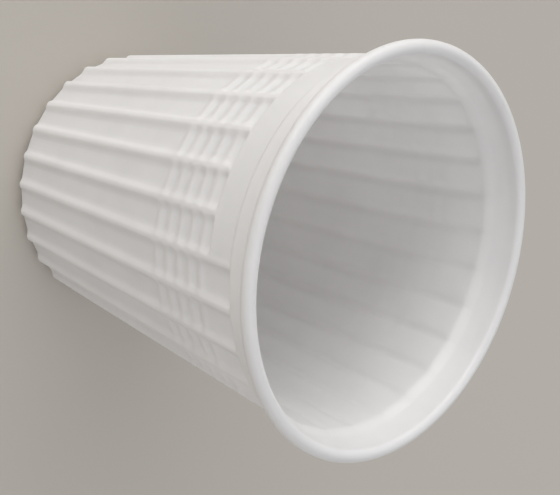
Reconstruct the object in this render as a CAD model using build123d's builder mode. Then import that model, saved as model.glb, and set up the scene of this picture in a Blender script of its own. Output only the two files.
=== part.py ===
# A disposable soup cup: one thin plastic skin drawn over a ribbed former, with a rolled rim.
# The cup stands on its base ring with +Z up its axis, and its plain pad faces -Y.
import os
from math import cos, radians, sin, sqrt, tan

from build123d import *

# Driving dimensions, in millimetres and degrees
rim_d = 80.0  # over the rolled rim
height = 85.0
wall = 0.5
taper = 6.92  # lean of the side away from the axis
roll_d = 2.7  # thickness of the rolled rim
roll_turn = 230.0  # how far round the rim is rolled
roll_flat = 30  # turn of one flat of the roll

ribs = 28  # with a flat pocket between each two
rib_rise = 0.95  # rib crests above the middle of a pocket
rib_w = 3.0  # rib width at the depth of a pocket
rib_draft = 48.0  # lean of a rib's flanks
rib_foot = 2.2  # height above the table at which the ribs end

pleats = 5  # cross ridges in each pocket
pleat_pitch = 3.45
pleat_rise = 0.35
pleat_drop = 17.3  # highest ridge below the rim

collar_drop = 7.5  # collar step below the rim
collar_step = 0.3  # collar in front of the rib crests
collar_lead = 0.9  # height of the slope under the collar

pad_drop = 15.15  # lower edge of the pad below the rim
pad_pockets = 6  # pockets that the pad covers, an even number
pad_sink = 0.3  # middle of the pad's flats behind the rib crests
pad_lead = 0.6  # height of the slope at the pad's lower edge

panel_rise = 2.0  # bottom panel above the table
panel_lead = 1.0  # width of the slope round the bottom panel
ring_w = 3.6  # standing ring
ring_r = 2.4  # rounded corner between the ring and the side

# Places worked out from them
lean = radians(taper)
pitch = 360 / ribs
front = -90.0  # angle of the pad's middle
back = 90.0
roll_r = roll_d / 2
roll_x = rim_d / 2 - roll_r
roll_z = height - roll_r
body_top = roll_z - roll_r
collar_z = height - collar_drop
pad_z = height - pad_drop
root = 2 * wall  # how far the ribs reach in under the skin
upright = (Align.CENTER, Align.CENTER, Align.MIN)


def collar(z):
    """Outside radius of the collar, which runs up into the roll without a corner."""
    hollow_r = roll_r - wall
    return roll_x - hollow_r * cos(lean) - (roll_z + hollow_r * sin(lean) - z) * tan(lean)


def crest(z):
    """Radius over the rib crests."""
    return collar(z) - collar_step


def pocket(z):
    """Distance of a pocket's middle from the axis."""
    return crest(z) - rib_rise


def on_roll(turn, radius):
    """A point of the roll's section, by its angle round the middle of the roll."""
    return roll_x + radius * cos(radians(turn)), roll_z + radius * sin(radians(turn))


def inset(points, depth):
    """An outline moved to the left of its run by a depth, with its corners kept."""
    path = [complex(*point) for point in points]
    left = [1j * (b - a) / abs(b - a) for a, b in zip(path, path[1:])]
    moved = [path[0] + depth * left[0]]
    for point, n, m in zip(path[1:], left, left[1:]):
        moved.append(point + depth * (n + m) / (1 + (n * m.conjugate()).real))
    moved.append(path[-1] + depth * left[-1])
    return [(point.real, point.imag) for point in moved]


def ramp(sink):
    """The slope under the collar, from a flat that lies this far behind the rib crests and on past it."""
    steep = collar_lead / (collar_step + rib_rise)
    low = collar_z - (collar_step + sink) * steep
    return [(crest(low) - sink, low), (collar(collar_z) + root, collar_z + root * steep)]


# Outlines of the flats between the ribs, from the standing ring up: a plain pocket and one with the pad
ring_x = pocket(0) - ring_w
foot = [(ring_x, 0), (pocket(0), 0)]
for half_pitch in range(2 * pleats + 1):
    ridge_z = height - pleat_drop - (pleats - half_pitch / 2 - 0.5) * pleat_pitch
    foot.append((pocket(ridge_z) + pleat_rise * (half_pitch % 2), ridge_z))
pad_edge = (crest(pad_z + pad_lead) - pad_sink, pad_z + pad_lead)
plain_outline = foot + ramp(rib_rise)
pad_outline = foot + [(pocket(pad_z), pad_z), pad_edge] + ramp(pad_sink)


def planed(outline, depth):
    """What is planed off a round blank to leave one outline of flats on the +X side.

    The outside has a rounded foot, and the hollow a bevel along it.
    """
    moved = inset(outline, depth)
    with BuildPart() as tool:
        with BuildSketch(Plane.XZ) as section:
            with BuildLine():
                Polyline(*moved, (rim_d, moved[-1][1]), (rim_d, -root), (moved[0][0], -root), close=True)
            make_face()
            corner = section.vertices().sort_by_distance(moved[1])[0]
            if depth:
                chamfer(corner, (ring_r - depth) * (2 - sqrt(2)))
            else:
                fillet(corner, ring_r)
        half_width = crest(collar_z) * tan(radians(pitch / 2))
        extrude(amount=half_width, both=True)
    return tool.part


def rib(depth, top):
    """One rib on the +X side up to a height, with drafted flanks and a full-round crest."""
    draft = radians(rib_draft)
    rise = rib_rise * cos(lean)
    spare = rib_w / 2 - rise * tan(draft)
    crest_r = spare / (cos(draft) - (1 - sin(draft)) * tan(draft)) - depth
    root_half = rib_w / 2 + root * tan(draft) - depth / cos(draft)
    bottom = rib_foot + depth
    base = Plane((pocket(bottom), 0, bottom), x_dir=(0, -1, 0), z_dir=(sin(lean), 0, cos(lean)))
    with BuildPart() as ridge:
        with BuildSketch(base):
            with BuildLine():
                middle = (0, rise - depth - crest_r)
                crown = CenterArc(middle, crest_r, rib_draft, 180 - 2 * rib_draft, mode=Mode.PRIVATE)
                Polyline(crown @ 1, (-root_half, -root), (root_half, -root), crown @ 0)
                if depth:
                    Polyline(crown @ 0, crown @ 0.5, crown @ 1)
                else:
                    add(crown)
            make_face()
        extrude(amount=(top - bottom) / cos(lean))
    return ridge.part


def places(count, middle):
    """Places one pitch apart round the axis, as many on either side of an angle."""
    span = (count - 1) * pitch
    return PolarLocations(0, count, middle - span / 2, span, endpoint=True)


def former(depth):
    """The ribbed body filled solid: its outside at no depth, its hollow at the wall's depth."""
    skin = depth / cos(lean)
    plain_pockets = ribs - pad_pockets
    plain_tool = planed(plain_outline, depth)
    pad_tool = planed(pad_outline, depth)
    full_rib = rib(depth, collar_z)
    short_rib = rib(depth, pad_z + pad_lead)
    with BuildPart() as body:
        with Locations((0, 0, depth)):
            Cone(collar(depth) - skin, collar(body_top + depth) - skin, body_top, align=upright)
        with places(plain_pockets, back):
            add(plain_tool, mode=Mode.SUBTRACT)
        with places(pad_pockets, front):
            add(pad_tool, mode=Mode.SUBTRACT)
        with places(plain_pockets + 1, back):
            add(full_rib)
        with places(pad_pockets - 1, front):
            add(short_rib)
    return body.part


outside = former(0)
hollow = former(wall)

with BuildPart() as cup:
    add(outside)
    add(hollow, mode=Mode.SUBTRACT)

    # The bottom panel is pressed up inside the standing ring
    panel_x = ring_x - panel_lead
    skin_x = wall * panel_rise / panel_lead / 2
    Cone(ring_x + skin_x, panel_x + skin_x, panel_rise + wall, align=upright)
    Cone(ring_x, panel_x, panel_rise, align=upright, mode=Mode.SUBTRACT)

    # The rim is rolled outward from the top of the collar, round a hollow that is open below;
    # the flats have corners at its top and outermost points, and the hidden hollow has half as many
    roll_start = 180 - taper
    roll_end = roll_start - roll_turn
    turns = [roll_start, *range(180 - roll_flat, int(roll_end), -roll_flat), roll_end]
    outer = [on_roll(turn, roll_r) for turn in turns]
    inner = [on_roll(turn, roll_r - wall) for turn in turns[::2]]
    neck = (collar(body_top), body_top)
    with BuildSketch(Plane.XZ):
        with BuildLine():
            Polyline(*outer, *inner[::-1], neck, (neck[0] - wall / cos(lean), body_top), close=True)
        make_face()
    revolve(axis=Axis.Z)

cup.part.label = "cup"
os.makedirs("parts", exist_ok=True)
export_step(cup.part, "parts/cup.step")
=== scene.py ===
# A disposable soup cup of thin white plastic, standing on a pale floor in soft light.
import math

import bpy
import numpy as np
from mathutils import Matrix, Vector


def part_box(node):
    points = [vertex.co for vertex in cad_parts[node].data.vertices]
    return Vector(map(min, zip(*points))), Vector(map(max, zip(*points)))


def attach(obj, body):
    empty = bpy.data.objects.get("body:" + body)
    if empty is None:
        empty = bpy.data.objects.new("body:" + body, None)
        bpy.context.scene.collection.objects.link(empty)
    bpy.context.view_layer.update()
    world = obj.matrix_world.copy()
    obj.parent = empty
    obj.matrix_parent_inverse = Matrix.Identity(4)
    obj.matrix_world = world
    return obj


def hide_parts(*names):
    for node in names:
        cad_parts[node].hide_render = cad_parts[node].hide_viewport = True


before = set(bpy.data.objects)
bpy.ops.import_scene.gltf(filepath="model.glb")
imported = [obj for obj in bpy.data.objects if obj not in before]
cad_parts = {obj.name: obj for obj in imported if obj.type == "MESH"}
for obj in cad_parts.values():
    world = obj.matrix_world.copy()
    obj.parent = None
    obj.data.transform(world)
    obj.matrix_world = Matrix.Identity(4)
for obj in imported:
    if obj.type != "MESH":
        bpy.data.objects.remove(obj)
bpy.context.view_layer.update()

# The side of the cup.
# A hot sheet of plastic is drawn into a ribbed mould: flat pockets between ribs, cross pleats, a plain
# pad and a smooth collar. The inside repeats them at the wall's depth, softened by its thickness.
mm = 0.001
rim_radius, _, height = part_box("cup")[1]
wall = 0.5 * mm
lean = math.radians(6.92)
front = -math.pi / 2  # the way that the pad faces

roll_radius = 1.35 * mm
roll_middle = rim_radius - roll_radius
roll_height = height - roll_radius

collar_step = 0.3 * mm
collar_low = height - 8.4 * mm
collar_high = height - 7.5 * mm
shoulder_late = 0.5 * mm  # how much higher the step begins inside
shoulder_long = 2.4 * mm  # how much higher it ends there
shoulder_wall = 0.5 * mm  # what it adds to the wall, less and less up to the roll

ribs = 28
rib_pitch = 2 * math.pi / ribs
rib_rise = 0.95 * mm
rib_half = 1.1 * mm
rib_start = (1.5 * mm, 2.5 * mm)  # heights between which the ribs rise out of the foot
groove_share = 0.5  # of a rib's rise, in the groove inside it
groove_end = (collar_low - 2.2 * mm, collar_low + 1.0 * mm)  # heights between which the grooves run out

pleats = 5
pleat_pitch = 3.45 * mm
pleat_rise = 0.38 * mm
pleat_share = 0.25  # of that rise, inside
pleat_loss = 0.9  # of that rise, over the middle of a rib
pleat_fade = 0.1  # of a pitch, to either side of where the pleats begin and end
top_pleat = height - 17.3 * mm
low_pleat = top_pleat - (pleats - 1) * pleat_pitch

pad_low = height - 15.15 * mm
pad_ribs = 3  # ribs from its middle to its side
pad_sink = 0.15 * mm
pad_slope = 0.8 * mm  # height of the slope along its lower edge
pad_flank = 0.5 * mm  # half the width of the slope down its sides
pad_lag = 0.6  # of the wall, by which its lower edge is higher inside
rib_stop = (pad_low + 0.3 * mm, pad_low + 1.4 * mm)  # heights between which the ribs below it run out


def smooth(low, high, value):
    """Goes from 0 at low to 1 at high along 3t^2 - 2t^3."""
    t = np.clip((value - low) / (high - low), 0, 1)
    return t * t * (3 - 2 * t)


def collar_radius(z):
    """The collar's outside: a straight lean up into the hollow of the rolled rim."""
    hollow = roll_radius - wall
    top = roll_height + hollow * math.sin(lean)
    return roll_middle - hollow * math.cos(lean) - (top - z) * math.tan(lean)


def side_radius(z, angle, depth):
    """The side's distance from the axis, moved in by a depth.

    A pocket is a flat chord of the circle between two ribs. On it stand the ribs, bells
    exp(-(d/w)^3) of the distance d from a rib's middle, the pleats, a cosine wave in z that
    dies out over the ribs, and the pad, a raised field. Above them the side steps out to the
    collar. Inside, ribs and pleats are lower, and the step is a long shoulder nearer the rim.
    """
    inside = depth / wall
    crest = collar_radius(z) - collar_step
    turn = (angle - front + math.pi) % (2 * math.pi) - math.pi
    nearest = np.round(turn / rib_pitch)
    off_rib = np.abs(turn - nearest * rib_pitch)
    pocket = (crest - rib_rise) / np.cos(rib_pitch / 2 - off_rib)
    rise = crest - pocket

    under_pad = np.abs(nearest) < pad_ribs
    rib = (1 - (1 - groove_share) * inside) * np.exp(-((off_rib * crest / rib_half) ** 3))
    rib = rib * smooth(*rib_start, z - depth)
    rib = rib * (1 - under_pad * smooth(*rib_stop, z))
    rib = rib * (1 - inside * smooth(*groove_end, z))

    phase = (z - low_pleat) / pleat_pitch
    begun = smooth(-0.5 - pleat_fade, -0.5 + pleat_fade, phase)
    ended = smooth(pleats - 0.5 - pleat_fade, pleats - 0.5 + pleat_fade, phase)
    wave = pleat_rise * (0.5 + 0.5 * np.cos(2 * math.pi * phase)) * begun * (1 - ended)
    wave = (1 - (1 - pleat_share) * inside) * wave * (1 - pleat_loss * rib**2)
    relief = rib * rise + wave

    off_side = (pad_ribs * rib_pitch - np.abs(turn)) * crest
    in_pad = smooth(-pad_flank, pad_flank, off_side)
    in_pad = in_pad * smooth(pad_low, pad_low + pad_slope, z - pad_lag * depth)
    relief = relief + in_pad * (np.maximum(rise - pad_sink, relief) - relief)

    ribbed = pocket + relief
    stepped = smooth(collar_low + shoulder_late * inside, collar_high + shoulder_long * inside, z)
    plain = collar_radius(z) - shoulder_wall * inside * smooth(roll_height, collar_high, z)
    return ribbed + stepped * (plain - ribbed) - depth / math.cos(lean)


# Columns round the cup, crowded towards each rib: t = u - c sin(2 pi u) / (2 pi), for even steps u of a
# pitch and a crowding c
per_pitch = 14
crowding = 0.6
u = (np.arange(per_pitch) + 0.5) / per_pitch - 0.5
within = u - crowding * np.sin(2 * math.pi * u) / (2 * math.pi)
angles = (front + (np.arange(ribs)[:, None] + within[None, :]) * rib_pitch).ravel()

# Rows up the side: few where the ribs run straight, and many over the rib ends, the pleats, the pad's
# lower edge and the collar step; the softer inside takes every second one, from the top down
foot_radius = 2.4 * mm
foot_top = foot_radius * (1 - math.sin(lean))
straight = foot_top + 2.0 * mm
pleat_low = low_pleat - 0.6 * pleat_pitch
pleat_high = top_pleat + 0.6 * pleat_pitch
pad_top = pad_low + 1.6 * mm
step_low = collar_low - 0.4 * mm
step_high = collar_high + 2.5 * mm
neck_height = roll_height + (roll_radius - wall) * math.sin(lean)
levels = np.concatenate([
    np.linspace(foot_top, straight, 8, endpoint=False),
    np.linspace(straight, pleat_low, 6, endpoint=False),
    np.linspace(pleat_low, pleat_high, 44, endpoint=False),
    np.linspace(pleat_high, pad_top, 8, endpoint=False),
    np.linspace(pad_top, step_low, 4, endpoint=False),
    np.linspace(step_low, step_high, 22, endpoint=False),
    np.linspace(step_high, neck_height, 4, endpoint=False),
])
outer_side = (side_radius(levels[:, None], angles, 0.0), levels)
inner_levels = levels[levels > foot_top + wall][::-2]
inner_side = (side_radius(inner_levels[:, None], angles, wall), inner_levels)

# The rolled rim.
# The sheet turns outward at the top of the collar and down round a hollow that is open below:
# up its hollow side first, over the trimmed edge, and back round the outside into the mouth.
roll_turn = math.radians(230)
roll_start = math.pi - lean
roll_end = roll_start - roll_turn


def roll_rows(radius, turns):
    """Rows round the middle of the roll: a circle of this radius at the angles of the turns."""
    return roll_middle + radius * np.cos(turns), roll_height + radius * np.sin(turns)


roll_hollow = roll_rows(roll_radius - wall, np.linspace(roll_start, roll_end, 14))
roll_outside = roll_rows(roll_radius, np.linspace(roll_end, roll_start, 24))

# The bottom.
# The side rounds under to a standing ring, and inside the ring the bottom panel is pressed up.
# The slope round the panel has two rows at each of its corners, which eases them.
panel_rise = 2.0 * mm
panel_top = panel_rise + wall
ring_width = 3.6 * mm
ring_inner = collar_radius(0) - collar_step - rib_rise - ring_width
slope_width = 1.2 * mm
ease = 0.2 * mm


def foot_rows(bend, depth):
    """The rounded corner under the side: the side's radius, less r(1 - cos a) at an angle a."""
    radius = foot_radius - depth
    z = depth + radius * (1 + np.sin(bend))
    return side_radius(z[:, None], angles, depth) - radius * (1 - np.cos(bend))[:, None], z


outer_foot = foot_rows(np.linspace(-math.pi / 2, -lean, 9)[:-1], 0.0)
inner_foot = foot_rows(np.linspace(-lean, -math.pi / 2, 7), wall)
across = np.array([0.25, 0.5, 0.75, 0.96]) * (ring_inner - slope_width)
slope_under = ring_inner + np.array([-1.2, -0.9, -0.1, 0.2]) * mm
slope_over = ring_inner + np.array([0.3, 0.0, -0.7, -1.0]) * mm
under_panel = (
    np.append(across, slope_under),
    np.append(np.full(across.size, panel_rise), [panel_rise, panel_rise - ease, ease, 0.0]),
)
over_panel = (
    np.append(slope_over, across[::-1]),
    np.append([wall, wall + ease, panel_top - ease, panel_top], np.full(across.size, panel_top)),
)


# The skin.
# All the rows, from the middle of the bottom up the outside, round the roll and down the inside,
# make one closed sheet with a point on the axis at each end.
def skin_mesh(name, runs, low_pole, high_pole):
    """Mesh from runs of radius and height by row: (r cos a, r sin a, z) at the columns' angles a."""
    around = angles.size
    radius = np.concatenate([
        np.broadcast_to(np.reshape(r, (len(z), -1)), (len(z), around)) for r, z in runs
    ])
    z = np.concatenate([np.broadcast_to(z[:, None], (len(z), around)) for _, z in runs])
    points = np.stack([radius * np.cos(angles), radius * np.sin(angles), z], axis=-1).reshape(-1, 3)
    poles = len(points)
    points = np.append(points, [[0, 0, low_pole], [0, 0, high_pole]], axis=0)
    here = np.arange(around)
    after = (here + 1) % around
    row = np.arange(len(radius) - 1)[:, None] * around
    quads = np.stack([row + here, row + after, row + around + after, row + around + here], axis=-1)
    last = poles - around
    low_fan = np.stack([np.full(around, poles), after, here], axis=-1)
    high_fan = np.stack([np.full(around, poles + 1), last + here, last + after], axis=-1)
    faces = quads.reshape(-1, 4).tolist() + low_fan.tolist() + high_fan.tolist()
    mesh = bpy.data.meshes.new(name)
    mesh.from_pydata(points.tolist(), [], faces)
    mesh.shade_smooth()
    return mesh


skin_runs = [
    under_panel, outer_foot, outer_side, roll_hollow,
    roll_outside, inner_side, inner_foot, over_panel,
]
skin = skin_mesh("cup_skin", skin_runs, panel_rise, panel_top)
cup = bpy.data.objects.new("cup_skin", skin)
bpy.context.collection.objects.link(cup)


def linear(hex_colour):
    """An sRGB hex colour as linear red, green, blue and full alpha."""
    srgb = [int(hex_colour[k:k + 2], 16) / 255 for k in (1, 3, 5)]
    return [c / 12.92 if c <= 0.04045 else ((c + 0.055) / 1.055) ** 2.4 for c in srgb] + [1.0]


def node(tree, kind, inputs=None, links=None):
    """Adds a node, sets its input values, and links other nodes' outputs to its inputs."""
    made = tree.nodes.new(kind)
    for key, value in (inputs or {}).items():
        made.inputs[key].default_value = value
    for key, (source, output) in (links or {}).items():
        tree.links.new(source.outputs[output], made.inputs[key])
    return made


# White polystyrene, drawn hot into a cool mould: a milky white that clouds a little where the sheet
# is thicker, a satin shine with faint streaks up the side where it was stretched, a fine unevenness,
# and some light through the thin wall. The streaks are drawn about twice as coarse as they are.
plastic = bpy.data.materials.new("drawn_white_polystyrene")
plastic.use_nodes = True
tree = plastic.node_tree
shader = tree.nodes["Principled BSDF"]
shader.inputs["IOR"].default_value = 1.55
shader.inputs["Subsurface Weight"].default_value = 0.7
shader.inputs["Subsurface Radius"].default_value = (1.1, 1.1, 1.1)
shader.inputs["Subsurface Scale"].default_value = 1.5 * mm
place = node(tree, "ShaderNodeTexCoord")

cloud_size = 12.0 * mm
clouds = node(
    tree, "ShaderNodeTexNoise",
    {"Scale": 1 / cloud_size, "Detail": 3.0}, {"Vector": (place, "Object")},
)
milk = node(tree, "ShaderNodeValToRGB", links={"Fac": (clouds, "Fac")})
milk.color_ramp.elements[0].position = 0.3
milk.color_ramp.elements[0].color = linear("#EAE8E7")
milk.color_ramp.elements[1].position = 0.7
milk.color_ramp.elements[1].color = linear("#F0EEEC")
tree.links.new(milk.outputs["Color"], shader.inputs["Base Color"])

streak_width = 1.2 * mm
streak_length = 25.0 * mm
stretch = node(
    tree, "ShaderNodeMapping",
    {"Scale": (1 / streak_width, 1 / streak_width, 1 / streak_length)}, {"Vector": (place, "Object")},
)
streaks = node(tree, "ShaderNodeTexNoise", {"Scale": 1.0, "Detail": 2.0}, {"Vector": (stretch, "Vector")})
shine = node(
    tree, "ShaderNodeMapRange",
    {"From Min": 0.3, "From Max": 0.7, "To Min": 0.36, "To Max": 0.48}, {"Value": (streaks, "Fac")},
)
tree.links.new(shine.outputs["Result"], shader.inputs["Roughness"])

grain_size = 0.6 * mm
grain = node(
    tree, "ShaderNodeTexNoise",
    {"Scale": 1 / grain_size, "Detail": 2.0}, {"Vector": (place, "Object")},
)
uneven = node(tree, "ShaderNodeBump", {"Strength": 0.06, "Distance": 0.05 * mm}, {"Height": (grain, "Fac")})
drawn = node(
    tree, "ShaderNodeBump",
    {"Strength": 0.05, "Distance": 0.1 * mm}, {"Height": (streaks, "Fac"), "Normal": (uneven, "Normal")},
)
tree.links.new(drawn.outputs["Normal"], shader.inputs["Normal"])
skin.materials.append(plastic)
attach(cup, "root")
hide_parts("cup")

# The floor.
# A plain pale sheet under the cup, wide enough to fill every view.
half = 3.0
floor_corners = [(-half, -half, 0), (half, -half, 0), (half, half, 0), (-half, half, 0)]
floor_mesh = bpy.data.meshes.new("floor")
floor_mesh.from_pydata(floor_corners, [], [(0, 1, 2, 3)])
floor = bpy.data.objects.new("floor", floor_mesh)
bpy.context.collection.objects.link(floor)
paper = bpy.data.materials.new("matt_pale_paper")
paper.use_nodes = True
paper_shader = paper.node_tree.nodes["Principled BSDF"]
paper_shader.inputs["Base Color"].default_value = linear("#C9C3BA")
paper_shader.inputs["Roughness"].default_value = 0.9
floor_mesh.materials.append(paper)

# The light.
# An even sky as fill, a broad soft light on the cup's upper side as the camera holds it,
# a weaker one from nearer the camera, and one from above into the mouth.
world = bpy.data.worlds.new("soft_sky")
bpy.context.scene.world = world
world.use_nodes = True
sky = world.node_tree.nodes["Background"]
sky.inputs["Color"].default_value = linear("#F4F5F8")
sky.inputs["Strength"].default_value = 0.48


def soft_light(name, toward, spread, strength):
    """A distant light from a direction, as soft as the angle it fills, in degrees."""
    lamp = bpy.data.lights.new(name, "SUN")
    lamp.angle = math.radians(spread)
    lamp.energy = strength
    holder = bpy.data.objects.new(name, lamp)
    holder.rotation_euler = (-Vector(toward)).to_track_quat("-Z", "Y").to_euler()
    bpy.context.collection.objects.link(holder)


soft_light("window", (-0.78, -0.60, 0.05), 75, 2.4)
soft_light("room", (-0.22, -0.95, 0.15), 40, 0.75)
soft_light("ceiling", (0.40, 0.15, 0.89), 60, 0.5)

# The camera.
# It looks down into the mouth and is turned on its side, so that the standing cup lies in the picture.
view_azimuth = math.radians(-68.0)
view_elevation = math.radians(41.92)
view_distance = 260.35 * mm
view_roll = math.radians(106.77)
view_middle = Vector((4.49, 1.81, 54.93)) * mm
picture_width = 560
focal_pixels = 1300
camera = bpy.data.cameras.new("camera")
camera.sensor_width = 36.0
camera.lens = focal_pixels / picture_width * camera.sensor_width
camera.clip_start = 0.01
viewer = bpy.data.objects.new("camera", camera)
outward = Vector((
    math.cos(view_elevation) * math.cos(view_azimuth),
    math.cos(view_elevation) * math.sin(view_azimuth),
    math.sin(view_elevation),
))
stand = Matrix.Translation(view_middle + outward * view_distance)
level = (-outward).to_track_quat("-Z", "Y").to_matrix().to_4x4()
viewer.matrix_world = stand @ level @ Matrix.Rotation(view_roll, 4, "Z")
bpy.context.collection.objects.link(viewer)
bpy.context.scene.camera = viewer
bpy.context.scene.view_settings.view_transform = "Standard"
